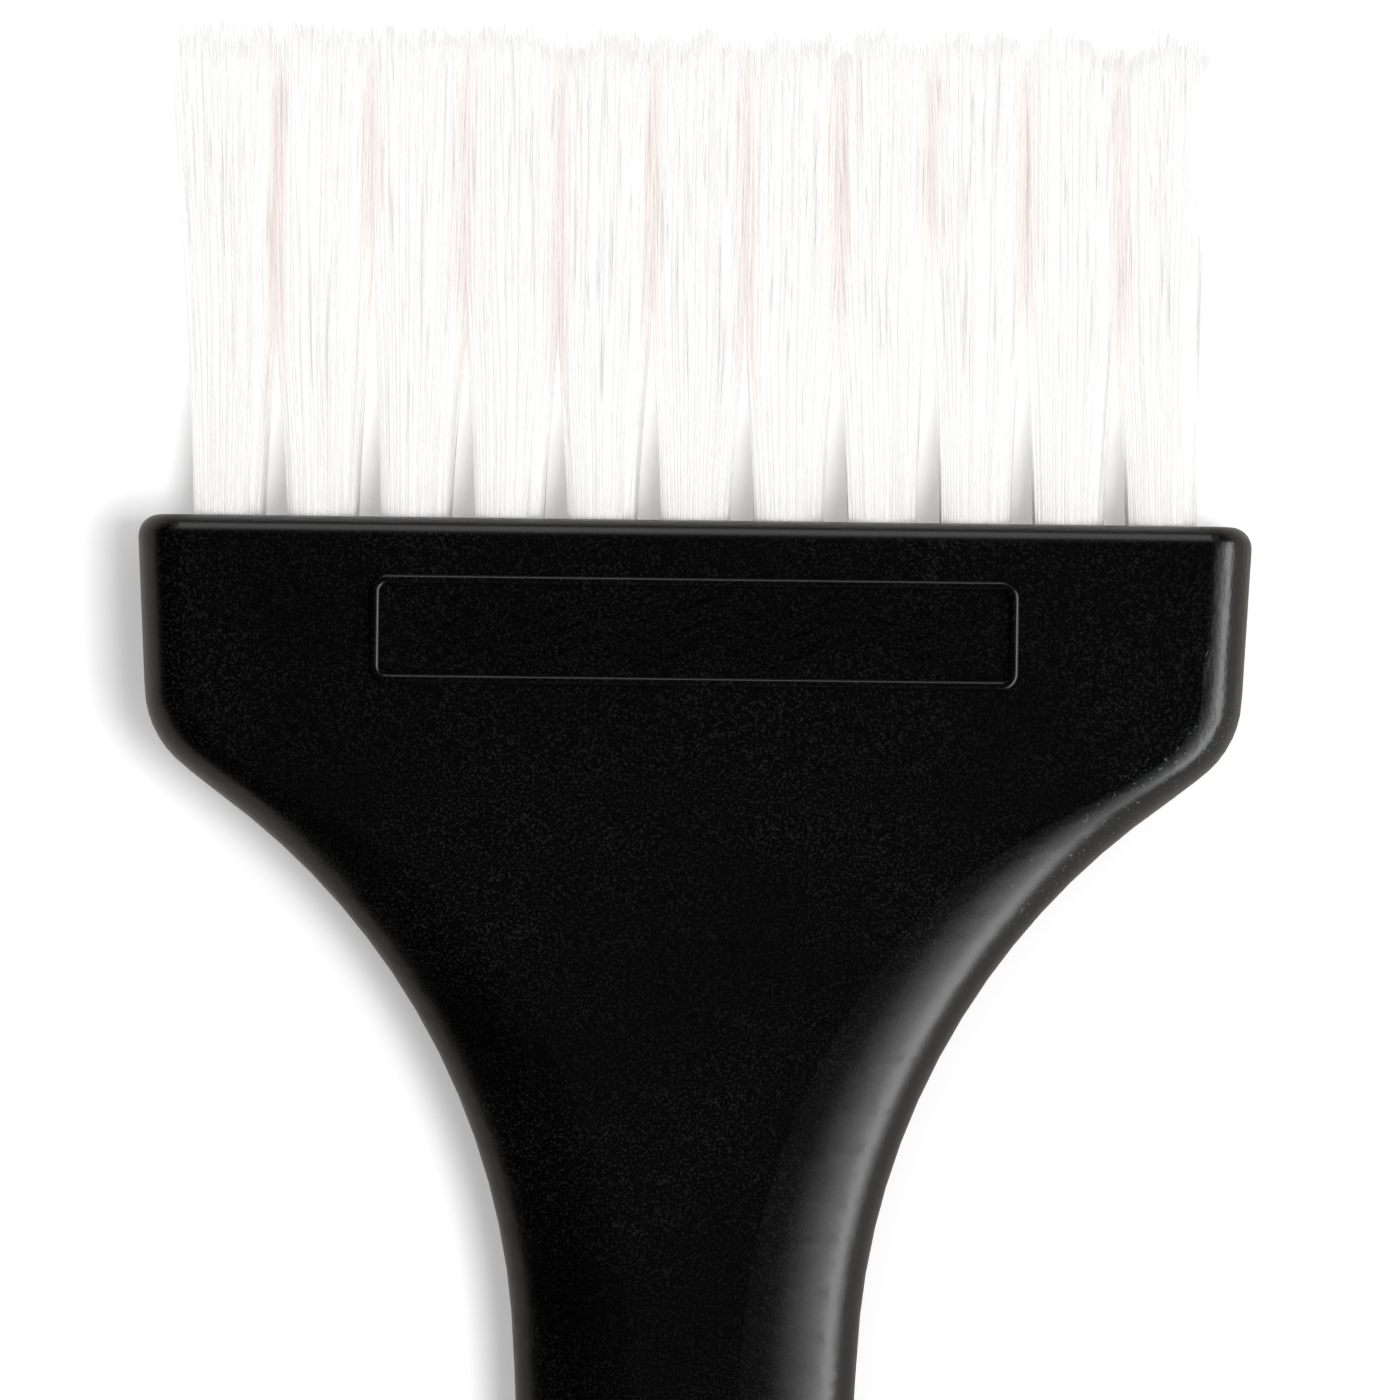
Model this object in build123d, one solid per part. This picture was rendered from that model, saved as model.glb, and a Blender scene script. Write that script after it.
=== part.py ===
from build123d import *
from math import acos, cos, pi, radians, sin, sqrt, tan
import os

# A hair tint brush: one moulded handle, two rows of bristle tufts and the flat staples that
# anchor each folded tuft in its hole. Millimetres, +Z up.
#
# The brush lies on its back. The bristles point along +Y, the handle runs towards -Y, X is across
# the head and Z is the thickness. The origin is below the middle of the whole brush, on the
# surface that it lies on. A "depth" is a distance from the bristle face towards the tail.

# --- Driving dimensions ---------------------------------------------------------------------

# Handle, in plan. The sides of the head lean in a little, turn at the shoulders into the flare,
# and turn again at the neck into the stem, which tapers to the tail.
HANDLE_LENGTH = 190.0
HEAD_WIDTH = 57.3
HEAD_LEAN = 0.6  # on each side, by the depth of the shoulder
SHOULDER_DEPTH, SHOULDER_RADIUS = 11.4, 5.2
FLARE_LENGTH = 14.1
NECK_WIDTH, NECK_RADIUS = 19.2, 36.7
TAIL_WIDTH, TAIL_DOME = 5.0, 2.5

# Handle, in thickness.
STEM_THICKNESS = 7.6
TAIL_THICKNESS = 4.4
STEM_START = 48.0  # the stem is fully formed from this depth on

# Rounding of the long edges: how far it reaches across the face, and down the side.
HEAD_EDGE_ACROSS, HEAD_EDGE_DOWN = 2.2, 3.0
STEM_EDGE_ACROSS = 6.0
WIDE_EDGE_START = 20.0  # the rounding has its full width across from this depth on
SIDE_LAND = 0.6  # height of the upright side that is left between the two roundings
TAIL_LAND = 0.5  # width of the flat that is left along the tail
FACE_EDGE_RADIUS = 1.1

# Bristle tufts and their holes.
TUFTS_PER_ROW = 11
HOLE_DIAMETER = 3.8
HOLE_DEPTH = 8.0
END_WALL = 2.75  # from the outermost holes to the sides of the head
ROW_WALL = 0.8  # between the two rows of holes
FACE_WALL = 1.3  # from the holes to the front and back faces
TUFT_CLEARANCE = 0.02
TUFT_GAP = 0.2  # between neighbours once they have spread
BRISTLE_LENGTH = 24.6
TIP_SPREAD = 1.03  # the tips stand this much further from the middle than the roots
TIP_ROW_SPREAD = 0.3  # the two rows lean apart by this much at the tips
SPREAD_HEIGHT = 8.0  # height above the face by which a tuft has reached its full width

# Staples. Each bites into the wall at both ends and lies across the fold of its tuft.
STAPLE_THICKNESS = 0.35
STAPLE_HEIGHT = 1.8
STAPLE_BITE = 0.3
STAPLE_ANGLE = 40.0
FOLD_THICKNESS = 1.1  # bristle under the staple

# Raised frame and wave relief on the front face.
FRAME_WIDTH, FRAME_HEIGHT, FRAME_RADIUS = 33.2, 5.6, 0.9
FRAME_SETBACK = 2.95  # from the bristle face to the frame
FRAME_FOOT = 0.45  # from the frame to where the head begins to thin
FRAME_LINE, FRAME_RISE, FRAME_EDGE_RADIUS = 0.5, 0.22, 0.2
WAVE_STRANDS, WAVE_PITCH, WAVE_REACH = 3, 1.1, 0.5
WAVE_LENGTH, WAVE_COUNT = 6.2, 4
WAVE_LINE, WAVE_RISE = 0.34, 0.18
RELIEF_ROOT = 0.4  # how far relief reaches into the handle, so that it is one moulding

# --- Derived places -------------------------------------------------------------------------

TUFT_PITCH = (HEAD_WIDTH - 2 * END_WALL - HOLE_DIAMETER) / (TUFTS_PER_ROW - 1)
ROW_PITCH = HOLE_DIAMETER + ROW_WALL
HEAD_THICKNESS = ROW_PITCH + HOLE_DIAMETER + 2 * FACE_WALL
HEAD_FLAT = FRAME_SETBACK + FRAME_HEIGHT + FRAME_FOOT  # full thickness to this depth
BLOCK_DEPTH = 2 * HEAD_FLAT / 3  # the part of the head with true flat faces
FACE_Y = (HANDLE_LENGTH + BRISTLE_LENGTH) / 2 - BRISTLE_LENGTH
MID_Z = HEAD_THICKNESS / 2
TAIL_START = HANDLE_LENGTH - TAIL_DOME
STAPLE_LENGTH = HOLE_DIAMETER + 2 * STAPLE_BITE
STAPLE_BOTTOM = HOLE_DEPTH - FOLD_THICKNESS

# The outline's corner points as (half width, depth), and the radius at each inner one.
CORNERS = [
    (HEAD_WIDTH / 2, 0.0),
    (HEAD_WIDTH / 2 - HEAD_LEAN, SHOULDER_DEPTH),
    (NECK_WIDTH / 2, SHOULDER_DEPTH + FLARE_LENGTH),
    (TAIL_WIDTH / 2, HANDLE_LENGTH),
]
CORNER_RADII = [SHOULDER_RADIUS, NECK_RADIUS]
DOME_ANGLES = [0, 20, 40, 58, 70]  # where the tail's dome has its sections


def section_plane(depth):
    """Plane across the brush at a depth: local X across the head, local Y upwards."""
    return Plane((0, FACE_Y - depth, MID_Z), x_dir=(1, 0, 0), z_dir=(0, -1, 0))


def eased(depth, start, end):
    """Rises smoothly from 0 at the start depth to 1 at the end depth."""
    share = min(max((depth - start) / (end - start), 0.0), 1.0)
    return share * share * (3 - 2 * share)


def between(depth, head, stem, tail, grown=STEM_START):
    """A size that goes from the head's value to the stem's by one depth, and then to the tail's."""
    to_stem = head + (stem - head) * eased(depth, HEAD_FLAT, grown)
    return to_stem + (tail - stem) * eased(depth, STEM_START, TAIL_START)


# --- Outline --------------------------------------------------------------------------------


def corner_arc(before, corner, after, radius):
    """Start point, end point and centre of the arc that rounds one corner of the outline."""
    corner = Vector(*corner)
    back = (Vector(*before) - corner).normalized()
    ahead = (Vector(*after) - corner).normalized()
    half_turn = (pi - acos(back.dot(ahead))) / 2
    reach = radius * tan(half_turn)
    centre = corner + (back + ahead).normalized() * (radius / cos(half_turn))
    return corner + back * reach, corner + ahead * reach, centre


ARCS = [
    (*corner_arc(CORNERS[i], CORNERS[i + 1], CORNERS[i + 2], radius), radius)
    for i, radius in enumerate(CORNER_RADII)
]


def outline_half_width(depth):
    """Half the handle's width at a depth, from its straight runs and the arcs between them."""
    for start, end, centre, radius in ARCS:
        if start.Y <= depth <= end.Y:
            across = sqrt(radius**2 - (depth - centre.Y) ** 2)
            bulges = start.X > centre.X
            return centre.X + (across if bulges else -across)
    for (x0, d0), (x1, d1) in zip(CORNERS, CORNERS[1:]):
        if depth <= d1:
            return x0 + (x1 - x0) * (depth - d0) / (d1 - d0)
    return CORNERS[-1][0]


# --- Handle ---------------------------------------------------------------------------------


def section_face(depth, shrink=1.0):
    """The handle's cross-section, drawn flat: a rectangle with four elliptical corners."""
    half_width = outline_half_width(depth) * shrink
    half_thickness = between(depth, HEAD_THICKNESS, STEM_THICKNESS, TAIL_THICKNESS) / 2 * shrink
    tail_edge = TAIL_WIDTH / 2 - TAIL_LAND / 2
    across = between(depth, HEAD_EDGE_ACROSS, STEM_EDGE_ACROSS, tail_edge, WIDE_EDGE_START) * shrink
    stem_down, tail_down = (STEM_THICKNESS - SIDE_LAND) / 2, (TAIL_THICKNESS - SIDE_LAND) / 2
    down = between(depth, HEAD_EDGE_DOWN, stem_down, tail_down) * shrink
    flat_x, flat_z = half_width - across, half_thickness - down
    edges = []
    for start_angle, side_x, side_z in ((0, 1, 1), (90, -1, 1), (180, -1, -1), (270, 1, -1)):
        centre = (side_x * flat_x, side_z * flat_z)
        edges.append(EllipticalCenterArc(centre, across, down, start_angle, arc_size=90))
    # The front comes first, because a loft whose outlines start at a side bulges there.
    outline = []
    for edge, following in zip(edges, edges[1:] + edges[:1]):
        outline += [Line(edge @ 1, following @ 0), following]
    return make_face(outline)


def handle_section(depth, shrink=1.0):
    """The handle's cross-section, in its place along the brush."""
    return section_plane(depth) * section_face(depth, shrink)


def head_block():
    """The first stretch of the head. Each half is its section swept straight along the side's
    lean, so that the front and back are true flats."""
    right_half = Pos(HEAD_WIDTH / 2) * Rectangle(HEAD_WIDTH, 2 * HEAD_THICKNESS)
    lean = outline_half_width(0) - outline_half_width(BLOCK_DEPTH)
    half = section_plane(0) * (section_face(0) & right_half)
    side = Solid.extrude(half.face(), Vector(-lean, -BLOCK_DEPTH, 0))
    return side + mirror(side, Plane.YZ)


def depths(start, end, count):
    """Evenly spaced depths from start to end, without the last one."""
    return [start + (end - start) * i / count for i in range(count)]


def handle_body():
    """The moulded body: a flat-faced block at the head, the flare and stem, and a domed tail."""
    (shoulder_in, shoulder_out, _, _), (neck_in, neck_out, _, _) = ARCS
    stations = (
        depths(BLOCK_DEPTH, shoulder_in.Y, 3)
        + depths(shoulder_in.Y, shoulder_out.Y, 6)
        + depths(shoulder_out.Y, neck_in.Y, 1)
        + depths(neck_in.Y, neck_out.Y, 12)
        + depths(neck_out.Y, TAIL_START, 11)
        + [TAIL_START]
    )
    stem = loft([handle_section(depth) for depth in stations])
    angles = [radians(angle) for angle in DOME_ANGLES]
    reach = TAIL_DOME / sin(angles[-1])
    dome = loft([handle_section(TAIL_START + reach * sin(a), cos(a)) for a in angles])
    body = head_block() + stem + dome
    face = body.faces().sort_by(Axis.Y)[-1]
    return fillet(face.edges(), FACE_EDGE_RADIUS)


def relief():
    """The raised frame and the wave strands inside it, on the front face."""
    middle = FRAME_SETBACK + FRAME_HEIGHT / 2
    front = Plane((0, FACE_Y - middle, HEAD_THICKNESS - RELIEF_ROOT))
    ring = RectangleRounded(FRAME_WIDTH, FRAME_HEIGHT, FRAME_RADIUS) - RectangleRounded(
        FRAME_WIDTH - 2 * FRAME_LINE, FRAME_HEIGHT - 2 * FRAME_LINE, FRAME_RADIUS - FRAME_LINE
    )
    frame = extrude(front * ring, RELIEF_ROOT + FRAME_RISE)
    frame = fillet(frame.faces().sort_by(Axis.Z)[-1].edges(), FRAME_EDGE_RADIUS)
    shapes = [frame]
    quarter = WAVE_LENGTH / 4
    places = [quarter * (i - 2 * WAVE_COUNT) for i in range(4 * WAVE_COUNT + 1)]
    for strand in range(WAVE_STRANDS):
        level = (strand - (WAVE_STRANDS - 1) / 2) * WAVE_PITCH
        points = [(x, level + WAVE_REACH * sin(2 * pi * x / WAVE_LENGTH)) for x in places]
        line = trace(Spline(*points), line_width=WAVE_LINE)
        shapes.append(extrude(front * line, RELIEF_ROOT + WAVE_RISE))
    return shapes


# --- Tufts and staples ----------------------------------------------------------------------


def tuft_places():
    """(node suffix, x, height above the middle plane) of every tuft, front row first."""
    places = []
    for row, side in (("front", 1), ("back", -1)):
        for index in range(TUFTS_PER_ROW):
            x = (index - (TUFTS_PER_ROW - 1) / 2) * TUFT_PITCH
            places.append((f"{row}_{index + 1:02d}", x, side))
    return places


def disc(depth, x, z, width, thickness=None):
    """A round face across the brush at a depth, or an oval one if it is given a thickness."""
    shape = Ellipse(width / 2, thickness / 2) if thickness else Circle(width / 2)
    return section_plane(depth) * Pos(x, z) * shape


def hole(x, side):
    """The blind hole of one tuft."""
    return extrude(disc(HOLE_DEPTH, x, side * ROW_PITCH / 2, HOLE_DIAMETER), -2 * HOLE_DEPTH)


def staple(x, side, height=STAPLE_HEIGHT):
    """One flat staple, or the track that it cuts if it is given the height of the whole hole."""
    plate = Rectangle(STAPLE_LENGTH, STAPLE_THICKNESS)
    place = Pos(x, side * ROW_PITCH / 2) * Rot(0, 0, STAPLE_ANGLE)
    return extrude(section_plane(STAPLE_BOTTOM) * place * plate, -height)


def tuft(x, side):
    """One folded tuft: a round root in its hole, and bristles that widen above the face."""
    width = HOLE_DIAMETER - 2 * TUFT_CLEARANCE
    base_z = side * ROW_PITCH / 2
    root = extrude(disc(HOLE_DEPTH, x, base_z, width), -HOLE_DEPTH)
    sections = [disc(0, x, base_z, width)]
    for height in (SPREAD_HEIGHT, BRISTLE_LENGTH):
        climb = height / BRISTLE_LENGTH
        fan = 1 + (TIP_SPREAD - 1) * climb
        row_pitch = ROW_PITCH + TIP_ROW_SPREAD * climb
        across, through = TUFT_PITCH * fan - TUFT_GAP, row_pitch - TUFT_GAP
        sections.append(disc(-height, x * fan, side * row_pitch / 2, across, through))
    return root + loft(sections, ruled=True) - staple(x, side)


def build():
    """Writes one STEP file per node."""
    os.makedirs("parts", exist_ok=True)
    handle = handle_body()
    handle += relief()
    places = tuft_places()
    track_height = STAPLE_BOTTOM + FACE_EDGE_RADIUS
    handle -= [hole(x, side) for _, x, side in places]
    handle -= [staple(x, side, track_height) for _, x, side in places]
    export_step(handle, "parts/handle.step")
    for name, x, side in places:
        export_step(tuft(x, side), f"parts/tuft_{name}.step")
    for row, side in (("front", 1), ("back", -1)):
        row_staples = [staple(x, s) for _, x, s in places if s == side]
        export_step(Compound(children=row_staples), f"parts/staples_{row}.step")


build()
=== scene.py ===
"""Looks of a hair tint brush: a satin black handle, folded nylon tufts and their staples."""

import logging
import math
from dataclasses import dataclass, field
from enum import Enum

import bpy
import numpy as np
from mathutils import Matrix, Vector


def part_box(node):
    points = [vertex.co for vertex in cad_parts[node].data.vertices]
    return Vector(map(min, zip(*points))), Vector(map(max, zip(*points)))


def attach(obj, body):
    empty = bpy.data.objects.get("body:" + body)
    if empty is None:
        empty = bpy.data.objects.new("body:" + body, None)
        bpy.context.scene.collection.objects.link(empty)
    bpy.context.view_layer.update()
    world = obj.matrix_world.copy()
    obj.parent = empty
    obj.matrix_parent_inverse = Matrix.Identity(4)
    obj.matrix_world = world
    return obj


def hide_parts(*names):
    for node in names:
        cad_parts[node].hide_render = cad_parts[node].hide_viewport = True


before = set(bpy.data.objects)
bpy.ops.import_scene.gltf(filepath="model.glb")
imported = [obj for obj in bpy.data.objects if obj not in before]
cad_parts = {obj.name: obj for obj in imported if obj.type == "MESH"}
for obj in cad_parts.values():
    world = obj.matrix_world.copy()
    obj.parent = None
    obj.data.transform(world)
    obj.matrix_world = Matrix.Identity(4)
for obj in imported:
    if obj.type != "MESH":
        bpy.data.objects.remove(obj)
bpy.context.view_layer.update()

MM = 0.001
ROOT = "root"
TURN = 6.28  # radians
ROW_STEP = 0.866  # between the rows of a hexagonal packing, as a share of the pitch
log = logging.getLogger("tint_brush")


class Slot(Enum):
    """The material slots of the record."""

    HANDLE = "handle"
    BRISTLE = "bristle"
    STAPLE = "staple"


class Row(Enum):
    """The two rows of tufts, by the side of the head that they are nearer to."""

    FRONT = "front"
    BACK = "back"


# --- Shader maths ---------------------------------------------------------------------------


class Value:
    """A number socket that adds Math nodes when it is used in an expression."""

    def __init__(self, shader: "Shader", socket: bpy.types.NodeSocket) -> None:
        """Wraps an output socket.

        Args:
            shader: The node tree that the socket belongs to.
            socket: The output socket.
        """
        self.shader = shader
        self.socket = socket

    def _with(self, operation: str, first: object, second: object) -> "Value":
        """Adds one Math node.

        Args:
            operation: The node's operation.
            first: Its first input, a Value or a number.
            second: Its second input, a Value or a number.

        Returns:
            The node's result.
        """
        made = self.shader.add("ShaderNodeMath", {"operation": operation}, {0: first, 1: second})
        return Value(self.shader, made.outputs[0])

    def __add__(self, other: object) -> "Value":
        """Sum."""
        return self._with("ADD", self, other)

    def __radd__(self, other: object) -> "Value":
        """Sum, with the number first."""
        return self._with("ADD", other, self)

    def __sub__(self, other: object) -> "Value":
        """Difference."""
        return self._with("SUBTRACT", self, other)

    def __rsub__(self, other: object) -> "Value":
        """Difference, with the number first."""
        return self._with("SUBTRACT", other, self)

    def __mul__(self, other: object) -> "Value":
        """Product."""
        return self._with("MULTIPLY", self, other)

    def __abs__(self) -> "Value":
        """Absolute value."""
        return self._with("ABSOLUTE", self, 0.0)

    def ramp(self, low: float, high: float) -> "Value":
        """Smooth step.

        Args:
            low: The value that gives 0.
            high: The value that gives 1.

        Returns:
            A share from 0 to 1.
        """
        settings = {"interpolation_type": "SMOOTHSTEP"}
        made = self.shader.add("ShaderNodeMapRange", settings, {0: self, 1: low, 2: high})
        return Value(self.shader, made.outputs[0])


class Shader:
    """One material's node tree, with a Principled surface."""

    def __init__(self, name: str) -> None:
        """Starts a material.

        Args:
            name: The material's name.
        """
        self.material = bpy.data.materials.new(name)
        self.material.use_nodes = True
        self.tree = self.material.node_tree
        self.surface = self.tree.nodes["Principled BSDF"]

    def add(self, kind: str, settings: dict | None = None, inputs: dict | None = None) -> bpy.types.Node:
        """Adds a node.

        Args:
            kind: The node's type.
            settings: Its own settings, which are set first.
            inputs: Values, sockets or Values for its inputs, by name or number.

        Returns:
            The node.
        """
        node = self.tree.nodes.new(kind)
        for key, value in (settings or {}).items():
            setattr(node, key, value)
        for key, value in (inputs or {}).items():
            self.feed(node.inputs[key], value)
        return node

    def feed(self, socket: bpy.types.NodeSocket, value: object) -> None:
        """Links or sets one input.

        Args:
            socket: The input.
            value: A Value, an output socket or a constant.
        """
        if isinstance(value, Value):
            value = value.socket
        if isinstance(value, bpy.types.NodeSocket):
            self.tree.links.new(value, socket)
        else:
            socket.default_value = value

    def set(self, **inputs: object) -> None:
        """Sets the surface's inputs, named with underscores for spaces."""
        for key, value in inputs.items():
            self.feed(self.surface.inputs[key.replace("_", " ")], value)

    def position(self) -> bpy.types.NodeSocket:
        """The point on the piece, in metres."""
        return self.add("ShaderNodeTexCoord").outputs["Object"]

    def along(self, axis: str) -> Value:
        """One coordinate of the point on the piece."""
        split = self.add("ShaderNodeSeparateXYZ", inputs={0: self.position()})
        return Value(self, split.outputs[axis])

    def attribute(self, name: str) -> Value:
        """A number that the mesh carries."""
        return Value(self, self.add("ShaderNodeAttribute", {"attribute_name": name}).outputs["Fac"])

    def noise(self, size: float, detail: float = 2.0, stretch: tuple = (1.0, 1.0, 1.0)) -> Value:
        """Noise whose features have a real size.

        Args:
            size: The size of a feature, in metres.
            detail: The number of finer layers.
            stretch: How much longer features are along each axis.

        Returns:
            Noise about 0.5.
        """
        scale = [1.0 / share for share in stretch]
        place = self.add("ShaderNodeVectorMath", {"operation": "MULTIPLY"}, {0: self.position(), 1: scale})
        inputs = {"Vector": place.outputs[0], "Scale": 1.0 / size, "Detail": detail}
        return Value(self, self.add("ShaderNodeTexNoise", inputs=inputs).outputs["Fac"])

    def mix(self, share: Value, low: object, high: object) -> bpy.types.NodeSocket:
        """Goes from one colour to another.

        Args:
            share: 0 for the first colour, 1 for the second.
            low: The first colour, as a tuple of red, green and blue or as a colour socket.
            high: The second colour, the same.

        Returns:
            The mixed colour.
        """
        node = self.add("ShaderNodeMix", {"data_type": "RGBA"}, {"Factor": share})
        sockets = [s for s in node.inputs if s.type == "RGBA"]
        for socket, colour in zip(sockets, (low, high)):
            self.feed(socket, (*colour, 1.0) if isinstance(colour, tuple) else colour)
        return next(s for s in node.outputs if s.type == "RGBA")

    def bump(self, height: Value, distance: float, below: object = None) -> bpy.types.NodeSocket:
        """Surface relief.

        Args:
            height: Relief from 0 to 1.
            distance: The height that 1 stands for, in metres.
            below: The normal that this relief lies on.

        Returns:
            The new normal.
        """
        inputs = {"Height": height, "Distance": distance, "Strength": 1.0}
        if below is not None:
            inputs["Normal"] = below
        return self.add("ShaderNodeBump", inputs=inputs).outputs["Normal"]


# --- Finishes -------------------------------------------------------------------------------


@dataclass(frozen=True)
class SatinPlastic:
    """Black moulded plastic with a fine eroded grain, flecks and scuffs at one corner and a parting line."""

    parting_z: float
    corner: tuple  # X and Y of the scuffed corner of the head
    dark: tuple = (0.0003, 0.0003, 0.0003)
    grain: tuple = (0.0100, 0.0100, 0.0103)
    fleck: tuple = (0.05, 0.078, 0.088)
    roughness: float = 0.30
    roughness_spread: float = 0.10
    grain_size: float = 0.13 * MM
    grain_height: float = 0.0012 * MM
    grain_stops: tuple = (0.50, 0.72)  # noise between which the grain sets in
    least_grain: float = 0.35  # strength of the grain where it is weakest
    flow_size: float = 2.6 * MM
    flow_height: float = 0.008 * MM
    fleck_size: float = 0.19 * MM
    fleck_stops: tuple = (0.645, 0.71)
    fleck_roughness: float = 0.2
    fleck_start: tuple = (2.6 * MM, 12.0 * MM)  # inset and depth where the band of flecks starts
    fleck_slant: float = 1.22  # how much more it runs inwards than down
    fleck_width: float = 3.6 * MM
    fleck_end: tuple = (10.0 * MM, 15.0 * MM)  # insets between which it fades out
    scuff_size: float = 0.40 * MM
    scuff_height: float = 0.030 * MM
    scuff_inset: tuple = (2.5 * MM, 5.5 * MM)  # insets and depths between which the scuffs fade out
    scuff_depth: tuple = (12.5 * MM, 17.0 * MM)
    parting_width: float = 0.07 * MM
    parting_height: float = 0.03 * MM

    def make(self) -> bpy.types.Material:
        """Builds the material."""
        shader = Shader("handle_satin_black")
        pits = shader.noise(self.grain_size, 1.0)
        cloud = shader.noise(self.flow_size * 3.0, 2.0)
        inset, depth = [corner - shader.along(axis) for axis, corner in zip("XY", self.corner)]
        scuffed = (1.0 - inset.ramp(*self.scuff_inset)) * (1.0 - depth.ramp(*self.scuff_depth))
        across = abs((inset - self.fleck_start[0]) - (depth - self.fleck_start[1]) * self.fleck_slant)
        band = 1.0 - across.ramp(0.3 * self.fleck_width, self.fleck_width)
        band = band * (1.0 - inset.ramp(*self.fleck_end))
        flecks = shader.noise(self.fleck_size, 1.0).ramp(*self.fleck_stops) * band
        patches = self.least_grain + cloud.ramp(0.3, 0.7) * (1.0 - self.least_grain)
        worn = pits.ramp(*self.grain_stops) * patches
        grained = shader.mix(worn, self.dark, self.grain)
        shader.set(
            Base_Color=shader.mix(flecks, grained, self.fleck),
            Roughness=self.roughness + (pits - 0.5) * self.roughness_spread + flecks * self.fleck_roughness,
            IOR=1.49,
        )
        flow = shader.bump(shader.noise(self.flow_size, 2.0), self.flow_height)
        line = 1.0 - abs(shader.along("Z") - self.parting_z).ramp(0.0, self.parting_width)
        seam = shader.bump(line, self.parting_height, flow)
        marks = shader.noise(self.scuff_size, 2.0, (1.0, 2.5, 1.0)) * scuffed
        scuffs = shader.bump(marks, self.scuff_height, seam)
        shader.set(Normal=shader.bump(pits, self.grain_height, scuffs))
        return shader.material


@dataclass(frozen=True)
class NylonFilament:
    """White nylon monofilament, slightly warm, each filament with its own whiteness; the value that the mesh
    carries adds painted shade where tufts press together and painted light at the tips.
    """

    # painted shade: the colour that filaments take where two tufts press together, standing in for the shade
    # between them
    seam: tuple = (0.83, 0.775, 0.755)
    bright: tuple = (0.945, 0.941, 0.938)
    roughness: float = 0.45
    specular: float = 0.15
    glow_depth: float = 0.55 * MM

    def make(self) -> bpy.types.Material:
        """Builds the material."""
        shader = Shader("bristle_white_nylon")
        # the mesh's value holds each filament's own whiteness together with painted shade at the seams and
        # painted light at the tips
        tone_and_painted_shading = shader.attribute("tone_and_painted_shading")
        shader.set(
            Base_Color=shader.mix(tone_and_painted_shading, self.seam, self.bright),
            Roughness=self.roughness,
            IOR=1.53,
            Specular_IOR_Level=self.specular,
            Subsurface_Weight=1.0,
            Subsurface_Radius=(1.0, 1.0, 1.0),
            Subsurface_Scale=self.glow_depth,
        )
        return shader.material


@dataclass(frozen=True)
class DrawnWire:
    """Flat drawn nickel silver wire, with fine scratches along it."""

    dull: tuple = (0.50, 0.47, 0.42)
    bright: tuple = (0.74, 0.71, 0.66)
    roughness: float = 0.30

    def make(self) -> bpy.types.Material:
        """Builds the material."""
        shader = Shader("staple_drawn_wire")
        scratch = shader.noise(0.05 * MM, 2.0, (1.0, 12.0, 1.0))
        shader.set(
            Base_Color=shader.mix(scratch.ramp(0.3, 0.7), self.dull, self.bright),
            Metallic=1.0,
            Roughness=self.roughness + scratch * 0.15,
            Normal=shader.bump(scratch, 0.002 * MM),
        )
        return shader.material


@dataclass(frozen=True)
class PaleFloor:
    """A plain matt white sheet, lit a little from below as on a light table."""

    colour: tuple = (0.9, 0.9, 0.9)
    mirrored: tuple = (0.50, 0.47, 0.44)  # as it shows in the gloss of the handle
    underlight: float = 0.20

    def make(self) -> bpy.types.Material:
        """Builds the material."""
        shader = Shader("floor_matt_white")
        ray = Value(shader, shader.add("ShaderNodeLightPath").outputs["Is Glossy Ray"])
        shader.set(
            Base_Color=shader.mix(ray, self.colour, self.mirrored),
            Roughness=0.9,
            Specular_IOR_Level=0.1,
            Emission_Color=shader.mix(ray, (1.0, 1.0, 1.0), (0.0, 0.0, 0.0)),
            Emission_Strength=self.underlight,
        )
        return shader.material


# --- Pieces ---------------------------------------------------------------------------------


def dress(piece: bpy.types.Object, material: bpy.types.Material) -> None:
    """Gives a piece its material.

    Args:
        piece: The mesh object.
        material: Its only material.
    """
    piece.data.materials.clear()
    piece.data.materials.append(material)
    for face_slot in piece.material_slots:
        face_slot.material = material


@dataclass
class Handle:
    """The moulded handle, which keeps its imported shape."""

    node: str = "handle"
    high: Vector = field(init=False)
    middle_z: float = field(init=False)

    def __post_init__(self) -> None:
        """Reads the handle's box, and the height midway between the two rows."""
        self.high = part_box(self.node)[1]
        self.middle_z = (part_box("staples_front")[1].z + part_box("staples_back")[0].z) / 2

    @property
    def face_y(self) -> float:
        """Where the bristle face is."""
        return self.high.y

    def build(self) -> None:
        """Dresses the handle."""
        finish = SatinPlastic(parting_z=self.middle_z, corner=(self.high.x, self.face_y))
        dress(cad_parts[self.node], finish.make())


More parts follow.
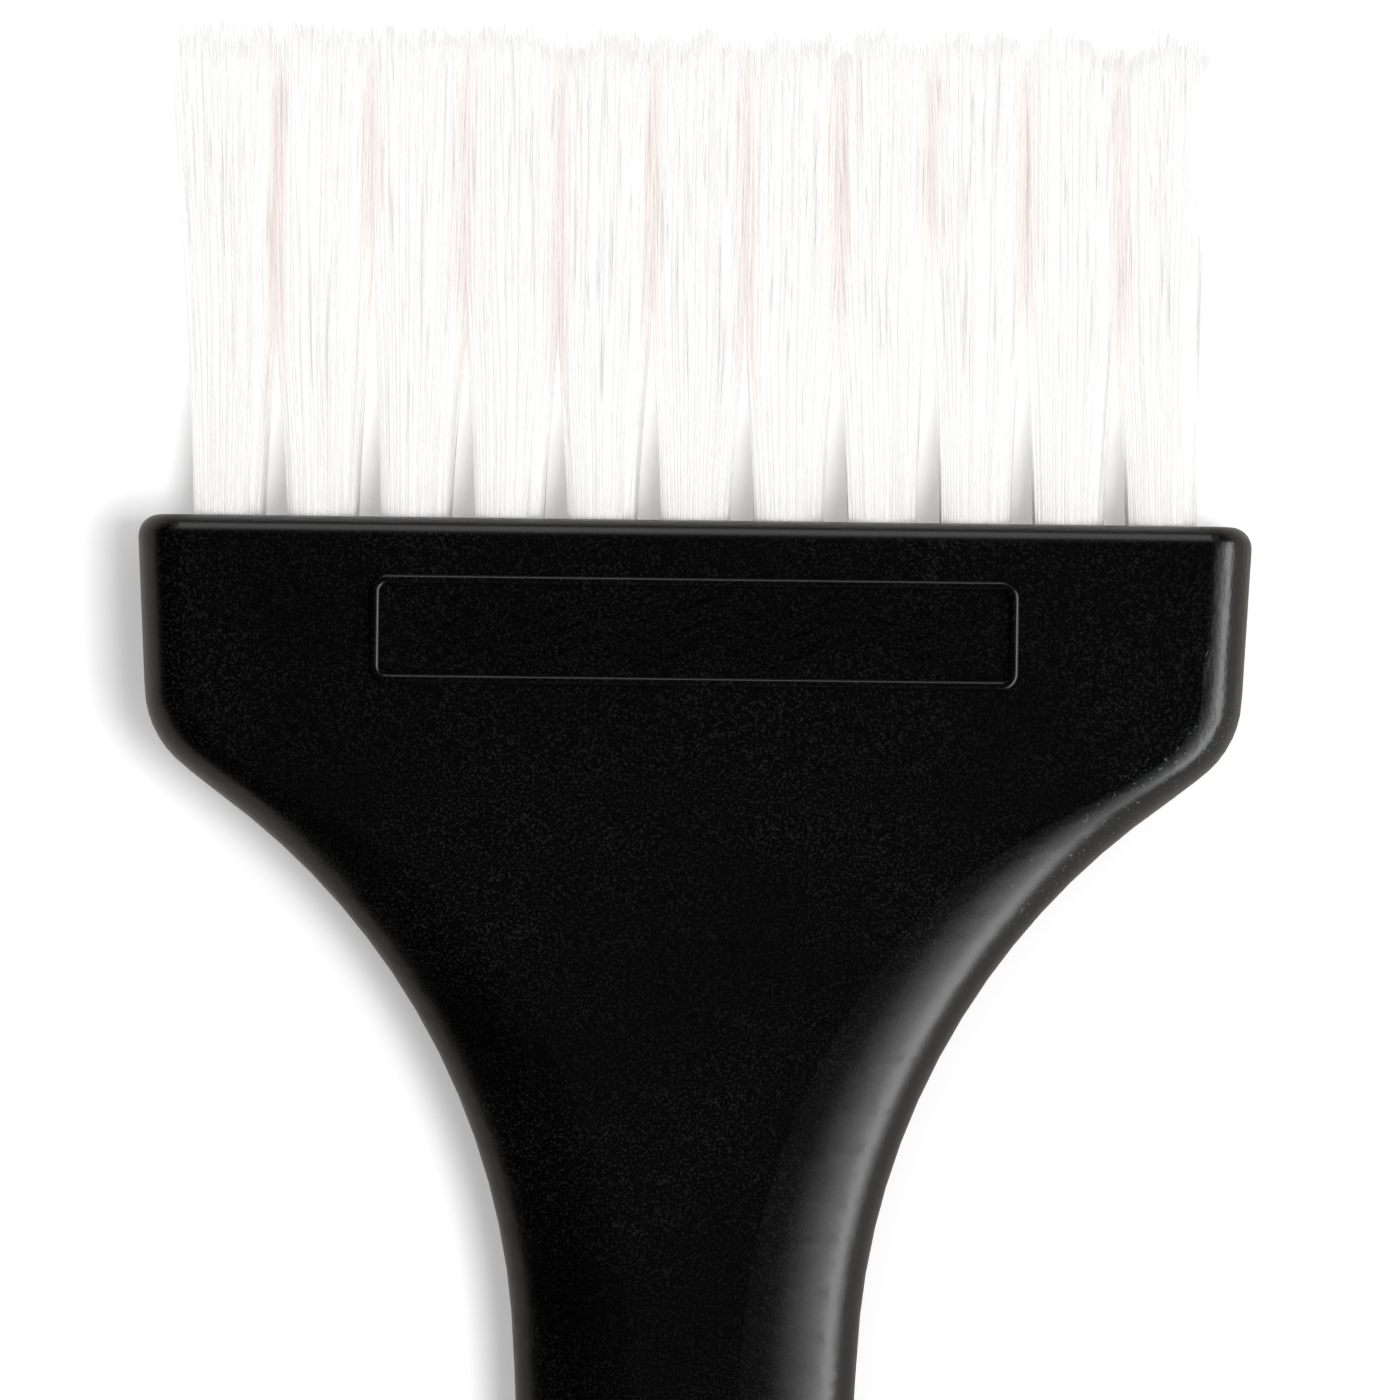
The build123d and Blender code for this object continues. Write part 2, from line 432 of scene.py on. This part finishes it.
@dataclass
class Filaments:
    """Sizes of the folded filaments and how freely they move."""

    diameter: float = 0.16 * MM
    spacing: float = 0.183 * MM
    sides: int = 5
    staple_gap: float = 0.20 * MM  # from the middle of the staple to the nearest filament's side
    staple_angle: float = math.radians(40.0)
    hole_depth: float = 8.0 * MM
    fold_depth: float = 6.9 * MM  # from the bristle face to the underside of the staple
    tip_taper: float = 3.4 * MM
    tip_share: float = 0.22  # width left at the tip
    tip_curve: float = 0.8  # under 1, the taper is steepest at the very tip
    ragged: float = 0.45 * MM  # how much shorter than the longest a filament is, on average
    clump: float = 0.36 * MM  # the width of the strands at the tips
    clump_spread: float = 0.75 * MM  # how far apart the strands end
    touch: float = 0.12 * MM  # how far neighbouring tufts press into each other where they meet
    overlap: float = 0.25 * MM  # and how much further at the tips
    flare_curve: float = 1.25  # over 1, a tuft widens more near the tips
    lean_curve: float = 1.3  # the same for its lean
    fan_rate: float = 2.2  # how soon a tuft reaches its full depth; 1 is at the tips
    fan_out: float = 0.35  # share of that growth that is away from the other row
    shade_height: float = 11.0 * MM  # how far up a tuft its shade on the floor can be seen
    shade_widths: tuple = (0.85, 0.25)  # the card's width at the face and at its top, of the tuft's
    jitter: float = 0.10  # how unevenly the filaments stand, as a share of their spacing
    wave: float = 0.20 * MM  # bend of a single filament
    ripple: float = 0.35  # its waviness, as a share of the bend
    lock: float = 0.13 * MM  # bend that neighbouring filaments share
    lock_curve: float = 1.6
    stray: float = 0.55 * MM
    stray_share: float = 0.05
    stray_curve: float = 2.2
    own_tone: tuple = (0.78, 1.0)  # how white a single filament is
    painted_shade_start: float = 0.60  # share of the half width where the painted shade of the seam begins
    painted_shade_climb: float = 2.5 * MM  # height over which the painted shade sets in where two tufts meet
    painted_tip_light_start: float = 0.90  # share of the length where painted light makes the tips whiter


@dataclass
class Tuft:
    """One tuft of folded filaments in place of its plain solid."""

    name: str
    row: Row
    centre: Vector
    radius: float
    face_y: float
    length: float
    reach: tuple  # how far the left and right sides have moved out where they meet a neighbour
    meet: tuple  # height at which they do
    pressed: tuple  # 1 for a side that has a neighbour, 0 for a free side
    lean: float
    depth_spread: float
    seed: int
    filaments: Filaments

    def _places(self, rng: np.random.Generator) -> np.ndarray:
        """Where the folded filaments cross the bristle face, on one side of the staple.

        Args:
            rng: The tuft's random numbers.

        Returns:
            One row per filament: distance along the staple and from it, in metres.
        """
        f = self.filaments
        limit = self.radius - f.diameter / 2
        pitch = f.spacing
        rows = []
        for i in range(int(limit / (pitch * ROW_STEP)) + 1):
            away = f.staple_gap + f.diameter / 2 + i * pitch * ROW_STEP
            shift = pitch / 2 * (i % 2)
            steps = np.arange(-limit - pitch, limit + pitch, pitch) + shift
            rows.append(np.stack([steps, np.full_like(steps, away)], axis=1))
        grid = np.concatenate(rows)
        grid = grid + rng.normal(0, pitch * f.jitter, grid.shape)
        inside = (np.hypot(grid[:, 0], grid[:, 1]) < limit) & (grid[:, 1] > f.staple_gap)
        return grid[inside]

    def _side(self, height: np.ndarray, side: int) -> np.ndarray:
        """How far one side of the tuft has moved out at a height.

        Args:
            height: Heights above the bristle face.
            side: 0 for the left side, 1 for the right.

        Returns:
            The distance moved, in metres.
        """
        f = self.filaments
        meet = self.meet[side]
        near = np.clip(height / meet, 0, 1) ** f.flare_curve * (self.reach[side] + f.touch)
        beyond = np.clip((height - meet) / max(self.length - meet, MM), 0, 1) * f.overlap
        return near + beyond

    def _arm(
        self, place: np.ndarray, height: np.ndarray, rng: np.random.Generator, waves: list
    ) -> np.ndarray:
        """The free part of each filament's arm.

        Args:
            place: Where each arm leaves the hole, relative to its middle: X and Z.
            height: Heights above the face, one row per arm.
            rng: The tuft's random numbers.
            waves: The tuft's slow waves, which neighbouring filaments share.

        Returns:
            Points, by arm, height and axis.
        """
        f = self.filaments
        share = height / self.length
        u = np.clip(place[:, 0] / self.radius, -1, 1)[:, None]
        v = np.clip(place[:, 1] / self.radius, -1, 1)[:, None]
        left, right = -self.radius - self._side(height, 0), self.radius + self._side(height, 1)
        x = (left + right) / 2 + u * (right - left) / 2 * (self.radius - f.diameter / 2) / self.radius
        out = 1 if self.row is Row.FRONT else -1
        fanned = self.depth_spread * np.clip(share * f.fan_rate, 0, 1)
        z = v * (self.radius + fanned) + out * f.fan_out * fanned
        x = x + self.lean * share**f.lean_curve
        eased = share**f.lock_curve
        for wave in waves:
            phase = wave["kx"] * u + wave["kz"] * v + wave["phase"]
            x = x + f.lock * wave["size"] * np.sin(phase) * eased
            z = z + f.lock * wave["size"] * np.cos(phase * 1.3 + 1.0) * eased * 0.8
        x = x + self._wander(share, rng)
        z = z + self._wander(share, rng)
        return np.stack([x, height, z], axis=2)

    def _wander(self, share: np.ndarray, rng: np.random.Generator) -> np.ndarray:
        """How each arm bends, ripples and strays in one direction.

        Args:
            share: How far along the tuft's length each point is, one row per arm.
            rng: The tuft's random numbers.

        Returns:
            The distance moved, by arm and height.
        """
        f = self.filaments
        each = (len(share), 1)
        bend = rng.normal(0, f.wave, each)
        ripple = rng.normal(0, f.wave * f.ripple, each)
        ripple = ripple * np.sin(share * rng.uniform(3, 7, each) + rng.uniform(0, TURN, each))
        loose = (rng.random(each) < f.stray_share) * rng.normal(0, f.stray, each)
        return bend * share**2 + ripple * np.clip(share * 2, 0, 1) + loose * share**f.stray_curve

    def _paths(self) -> tuple:
        """Every folded filament, from tip to tip under the staple.

        Returns:
            Points, by filament, step and axis; the radius at each; the share of the length
            at each; how white each is, with painted shade and painted light; and the direction along the
            staple.
        """
        f = self.filaments
        rng = np.random.default_rng(self.seed)
        places = self._places(rng)
        count = len(places)
        along_staple = np.array([math.cos(f.staple_angle), 0.0, math.sin(f.staple_angle)])
        off_staple = np.array([-math.sin(f.staple_angle), 0.0, math.cos(f.staple_angle)])
        waves = [
            {"kx": rng.normal(0, 2.4), "kz": rng.normal(0, 2.0), "phase": rng.uniform(0, TURN), "size": size}
            for size in (1.0, 0.7, 0.5)
        ]
        arms = []
        strands = rng.uniform(-1.0, 1.0, int(4 * self.radius / f.clump)) * f.clump_spread
        for side in (1.0, -1.0):
            flat = places[:, :1] * along_staple + side * places[:, 1:] * off_staple
            strand = ((flat[:, 0] + self.radius) / f.clump + rng.normal(0, 0.3, count)).astype(int)
            ragged = np.minimum(rng.exponential(f.ragged, count), 4.0 * f.ragged)
            top = self.length - ragged + strands[np.clip(strand, 0, len(strands) - 1)]
            steps = np.array([0.0, 0.10, 0.22, 0.36, 0.50, 0.64, 0.77, 0.88, 0.95, 1.0])
            height = top[:, None] * steps[None, :]
            free = self._arm(flat[:, [0, 2]], height, rng, waves)
            arms.append((flat, free, height))
        under = []
        for angle in np.radians([0, 35, 90, 145, 180]):
            away = places[:, 1] * math.cos(angle)
            room = f.hole_depth - f.fold_depth - f.diameter
            drop = f.diameter / 2 + places[:, 1] / self.radius * room
            point = places[:, :1] * along_staple + away[:, None] * off_staple
            point[:, 1] = -f.fold_depth - drop * math.sin(angle)
            under.append(point)
        first = arms[0][1][:, ::-1]
        second = arms[1][1]
        path = np.concatenate([first, np.stack(under, axis=1), second], axis=1)
        height = np.concatenate([arms[0][2][:, ::-1], np.zeros((count, len(under))), arms[1][2]], axis=1)
        ends = np.stack([arms[0][2][:, -1], arms[1][2][:, -1]], axis=1)
        split = first.shape[1] + len(under) // 2
        top = np.where(np.arange(path.shape[1])[None, :] < split, ends[:, :1], ends[:, 1:])
        left = np.clip((top - height) / f.tip_taper, 0, 1)
        radius = f.diameter / 2 * (f.tip_share + (1 - f.tip_share) * left**f.tip_curve)
        return path, radius, height / self.length, self._tone_and_painted_shading(path, height, rng), along_staple

    def _tone_and_painted_shading(self, path: np.ndarray, height: np.ndarray, rng: np.random.Generator) -> np.ndarray:
        """How white each point is: darkened by a painted shade where the tuft presses against a neighbour,
        and lightened by painted light towards the tips.

        Args:
            path: Points, by filament, step and axis, relative to the tuft's middle.
            height: The height above the bristle face at each.
            rng: The tuft's random numbers.

        Returns:
            1 for white and 0 for the painted shade of the seams, by filament and step.
        """
        f = self.filaments
        own = rng.uniform(*f.own_tone, (len(path), 1))
        # painted shade along the sides where a tuft presses against a neighbour
        seam = np.zeros(height.shape)
        for side, sign in ((0, -1), (1, 1)):
            edge = self.radius + self._side(height, side)
            near = np.clip((sign * path[:, :, 0] / edge - f.painted_shade_start) / (1 - f.painted_shade_start), 0, 1)
            joined = np.clip((height - self.meet[side]) / f.painted_shade_climb + 0.6, 0, 1)
            seam = np.maximum(seam, near * near * (3 - 2 * near) * joined * self.pressed[side])
        # painted light: the tips are made whiter and their painted shade weaker
        tip = np.clip((height / self.length - f.painted_tip_light_start) / (1 - f.painted_tip_light_start), 0, 1)
        return np.clip(own * (1 - seam * (1 - 0.6 * tip)) + tip * 0.15, 0, 1)

    def build(self, material: bpy.types.Material) -> int:
        """Makes the tuft's mesh.

        Args:
            material: The filaments' material.

        Returns:
            The number of folded filaments.
        """
        path, radius, share, tone_and_painted_shading, across = self._paths()
        origin = np.array([self.centre.x, self.face_y, self.centre.z])
        piece = tube_bundle(self.name, path + origin, radius, across, self.filaments.sides, share, tone_and_painted_shading)
        dress(piece, material)
        piece.visible_shadow = False
        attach(piece, ROOT)
        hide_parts(self.name.replace("bristles_", "tuft_"))
        return len(path)


    def shade(self, card_z: float) -> None:
        """Hangs an unseen card behind the tuft, because the filaments themselves throw no shade.

        Args:
            card_z: The card's height.
        """
        height = np.linspace(0.0, self.filaments.shade_height, 9)
        half = self.radius * np.linspace(*self.filaments.shade_widths, 9)
        left, right = self.centre.x - half, self.centre.x + half
        edge = [(x, self.face_y + h, card_z) for x, h in zip(left, height)]
        edge += [(x, self.face_y + h, card_z) for x, h in zip(right[::-1], height[::-1])]
        mesh = bpy.data.meshes.new(self.name.replace("bristles_", "shade_"))
        mesh.from_pydata(edge, [], [range(len(edge))])
        card = bpy.data.objects.new(mesh.name, mesh)
        bpy.context.scene.collection.objects.link(card)
        card.visible_camera = card.visible_glossy = card.visible_diffuse = card.visible_transmission = False


def tube_bundle(
    name: str,
    path: np.ndarray,
    radius: np.ndarray,
    across: np.ndarray,
    sides: int,
    share: np.ndarray,
    tone_and_painted_shading: np.ndarray,
) -> bpy.types.Object:
    """Makes one mesh of many closed tubes.

    Args:
        name: The object's name.
        path: Centre points, by tube, step and axis.
        radius: The radius at each.
        across: A direction that no tube runs along.
        sides: The number of sides.
        share: How far along its free length each point is.
        tone_and_painted_shading: How white each point is.

    Returns:
        The object, in the scene.
    """
    count, steps = path.shape[:2]
    tangent = np.gradient(path, axis=1)
    tangent /= np.linalg.norm(tangent, axis=2, keepdims=True)
    normal = np.cross(across, tangent)
    normal /= np.linalg.norm(normal, axis=2, keepdims=True)
    binormal = np.cross(tangent, normal)
    angle = np.arange(sides) * 2 * math.pi / sides
    ring = (
        normal[:, :, None, :] * np.cos(angle)[None, None, :, None]
        + binormal[:, :, None, :] * np.sin(angle)[None, None, :, None]
    )
    points = path[:, :, None, :] + ring * radius[:, :, None, None]
    mesh = bpy.data.meshes.new(name)
    mesh.vertices.add(count * steps * sides)
    mesh.vertices.foreach_set("co", points.astype(np.float32).ravel())
    tube = np.arange(count)[:, None, None] * steps * sides
    step = np.arange(steps - 1)[None, :, None] * sides
    side = np.arange(sides)[None, None, :]
    after = (side + 1) % sides
    quads = np.stack(
        [tube + step + side, tube + step + after, tube + step + sides + after, tube + step + sides + side],
        axis=3,
    ).reshape(-1, 4)
    start = np.arange(count)[:, None] * steps * sides
    first_cap = start + np.arange(sides)[::-1][None, :]
    last_cap = start + (steps - 1) * sides + np.arange(sides)[None, :]
    corners = np.concatenate([quads.ravel(), first_cap.ravel(), last_cap.ravel()])
    starts = np.concatenate(
        [np.arange(len(quads)) * 4, len(quads) * 4 + np.arange(2 * count) * sides]
    )
    mesh.loops.add(len(corners))
    mesh.loops.foreach_set("vertex_index", corners.astype(np.int32))
    mesh.polygons.add(len(starts))
    mesh.polygons.foreach_set("loop_start", starts.astype(np.int32))
    mesh.update(calc_edges=True)
    mesh.polygons.foreach_set("use_smooth", np.arange(len(starts)) < len(quads))
    white = np.repeat(tone_and_painted_shading.ravel(), sides).astype(np.float32)
    attribute = mesh.attributes.new("tone_and_painted_shading", "FLOAT", "POINT")
    attribute.data.foreach_set("value", white)
    layer = mesh.uv_layers.new(name="OFBake")
    flat = np.stack([white, np.repeat(share.ravel(), sides)], axis=1)[corners]
    layer.data.foreach_set("uv", np.clip(flat, 0, 1).astype(np.float32).ravel())
    piece = bpy.data.objects.new(name, mesh)
    bpy.context.scene.collection.objects.link(piece)
    return piece


@dataclass
class TuftRow:
    """One row of tufts, whose gaps close at their own heights."""

    row: Row
    face_y: float
    meet: tuple  # height at which each gap between neighbours closes, left to right
    lean: tuple  # how far each tuft's tips lean to the right
    shade_z: float | None = None  # height of the cards that stand in for the shade of the filaments
    outer: tuple = (1.15 * MM, 0.45 * MM)  # how far the row's own ends fan out
    length: float = 24.9 * MM
    tufts: int = 11
    seed: int = 11
    filaments: Filaments = field(default_factory=Filaments)

    def _root(self, node: str) -> tuple:
        """The middle and radius of a tuft's root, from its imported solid.

        Args:
            node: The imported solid's name.

        Returns:
            The middle, and the radius in metres.
        """
        points = np.array([v.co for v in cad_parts[node].data.vertices])
        low = points[points[:, 1] < points[:, 1].min() + 0.1 * MM]
        middle = (low.min(axis=0) + low.max(axis=0)) / 2
        return Vector(middle), float(low[:, 0].max() - low[:, 0].min()) / 2

    def build(self, material: bpy.types.Material) -> None:
        """Makes the row.

        Args:
            material: The filaments' material.
        """
        roots = [self._root(f"tuft_{self.row.value}_{i + 1:02d}") for i in range(self.tufts)]
        gaps = [
            roots[i + 1][0].x - roots[i][0].x - roots[i][1] - roots[i + 1][1]
            for i in range(self.tufts - 1)
        ]
        for i, (centre, radius) in enumerate(roots):
            left = (gaps[i - 1] / 2, self.meet[i - 1]) if i else (self.outer[0], self.length)
            right = (gaps[i] / 2, self.meet[i]) if i < self.tufts - 1 else (self.outer[1], self.length)
            tuft = Tuft(
                name=f"bristles_{self.row.value}_{i + 1:02d}",
                row=self.row,
                centre=centre,
                radius=radius,
                face_y=self.face_y,
                length=self.length,
                reach=(left[0], right[0]),
                meet=(left[1], right[1]),
                pressed=(float(i > 0), float(i < self.tufts - 1)),
                lean=self.lean[i],
                depth_spread=0.35 * MM,
                seed=self.seed + i,
                filaments=self.filaments,
            )
            made = tuft.build(material)
            log.info("%s: %d folded filaments", tuft.name, made)
            if self.shade_z is not None:
                tuft.shade(self.shade_z)


@dataclass
class Staples:
    """The flat staples at the bottom of the holes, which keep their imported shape."""

    nodes: tuple = ("staples_front", "staples_back")

    def build(self) -> None:
        """Dresses the staples."""
        material = DrawnWire().make()
        for node in self.nodes:
            dress(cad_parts[node], material)


# --- Studio ---------------------------------------------------------------------------------


@dataclass(frozen=True)
class SoftBox:
    """One large soft light, aimed at the middle of the head."""

    name: str
    azimuth: float  # degrees from +X towards +Y
    from_top: float  # degrees away from straight above
    distance: float
    width: float
    height: float
    power: float
    shine: bool = True  # seen in gloss
    spread: bool = True  # lights what is matt

    def place(self, target: Vector) -> None:
        """Adds the light.

        Args:
            target: The point that it is aimed at.
        """
        data = bpy.data.lights.new(self.name, "AREA")
        data.shape, data.size, data.size_y = "RECTANGLE", self.width, self.height
        data.energy = self.power
        light = bpy.data.objects.new(self.name, data)
        bpy.context.scene.collection.objects.link(light)
        turn, tilt = math.radians(self.azimuth), math.radians(self.from_top)
        away = Vector((math.sin(tilt) * math.cos(turn), math.sin(tilt) * math.sin(turn), math.cos(tilt)))
        light.location = target + away * self.distance
        light.rotation_euler = away.to_track_quat("Z", "Y").to_euler()
        light.visible_glossy, light.visible_diffuse = self.shine, self.spread


@dataclass
class Studio:
    """The floor, the lights and the camera."""

    face_y: float
    middle_z: float
    field_width: float = 72.2 * MM
    view_x: float = 0.35 * MM
    view_depth: float = 9.2 * MM  # from the bristle face to the middle of the view
    distance: float = 0.62
    roll: float = math.radians(0.7)
    floor_size: float = 6.0
    lights: tuple = (
        SoftBox("overhead_sheet", -12.0, 15.0, 1.0, 0.26, 0.26, 5.8, shine=False),
        SoftBox("strip_right", -16.0, 70.0, 1.0, 1.6, 0.30, 11.5, spread=False),
        SoftBox("feather_high", -16.0, 53.0, 1.0, 1.6, 0.34, 4.2, spread=False),
        SoftBox("feather_low", -16.0, 36.0, 1.0, 1.6, 0.28, 1.4, spread=False),
        SoftBox("far_window", 90.0, 58.0, 1.0, 0.55, 0.55, 2.0, spread=False),
    )
    sky: tuple = (0.55, 0.55, 0.55)

    def build(self) -> None:
        """Makes the whole studio."""
        self._floor()
        self._camera()
        target = Vector((0.0, self.face_y - self.view_depth, self.middle_z))
        for light in self.lights:
            light.place(target)
        world = bpy.data.worlds.new("studio_air")
        bpy.context.scene.world = world
        world.use_nodes = True
        background = world.node_tree.nodes["Background"]
        background.inputs["Color"].default_value = (*self.sky, 1.0)
        world.cycles_visibility.glossy = False
        scene = bpy.context.scene
        scene.view_settings.view_transform = "Standard"
        scene.cycles.diffuse_bounces = 8

    def _floor(self) -> None:
        """Makes the floor."""
        half = self.floor_size / 2
        mesh = bpy.data.meshes.new("floor")
        corners = [(-half, -half, 0), (half, -half, 0), (half, half, 0), (-half, half, 0)]
        mesh.from_pydata(corners, [], [(0, 1, 2, 3)])
        mesh.materials.append(PaleFloor().make())
        floor = bpy.data.objects.new("floor", mesh)
        bpy.context.scene.collection.objects.link(floor)

    def _camera(self) -> None:
        """Makes the camera, straight above the head."""
        data = bpy.data.cameras.new("camera")
        data.sensor_width = 36.0
        data.lens = data.sensor_width * self.distance / self.field_width
        data.clip_start, data.clip_end = 0.05, 20.0
        camera = bpy.data.objects.new("camera", data)
        bpy.context.scene.collection.objects.link(camera)
        camera.location = (self.view_x, self.face_y - self.view_depth, self.middle_z + self.distance)
        camera.rotation_euler = (0.0, 0.0, self.roll)
        bpy.context.scene.camera = camera


def main() -> None:
    """Builds every piece in order."""
    logging.basicConfig(level=logging.INFO, format="%(name)s: %(message)s")
    handle = Handle()
    Studio(handle.face_y, handle.middle_z).build()
    handle.build()
    log.info("handle dressed")
    Staples().build()
    log.info("staples dressed")
    nylon = NylonFilament().make()
    TuftRow(
        row=Row.FRONT,
        face_y=handle.face_y,
        shade_z=handle.middle_z,
        meet=tuple(h * MM for h in (8.8, 14.0, 11.4, 7.8, 9.8, 7.8, 11.9, 15.0, 11.9, 9.8)),
        lean=tuple(x * MM for x in (-0.3, -0.2, 0.0, 0.1, -0.1, 0.0, 0.1, -0.5, -0.1, 0.1, 0.1)),
        seed=11,
    ).build(nylon)
    TuftRow(
        row=Row.BACK,
        face_y=handle.face_y,
        meet=tuple(h * MM for h in (10.0, 11.0, 9.0, 10.5, 8.5, 10.0, 9.5, 12.0, 10.0, 9.0)),
        lean=tuple(x * MM for x in (-0.2, 0.0, 0.1, 0.1, 0.0, 0.1, 0.1, -0.2, 0.1, 0.2, 0.2)),
        seed=51,
    ).build(nylon)


if __name__ == "__main__":
    main()
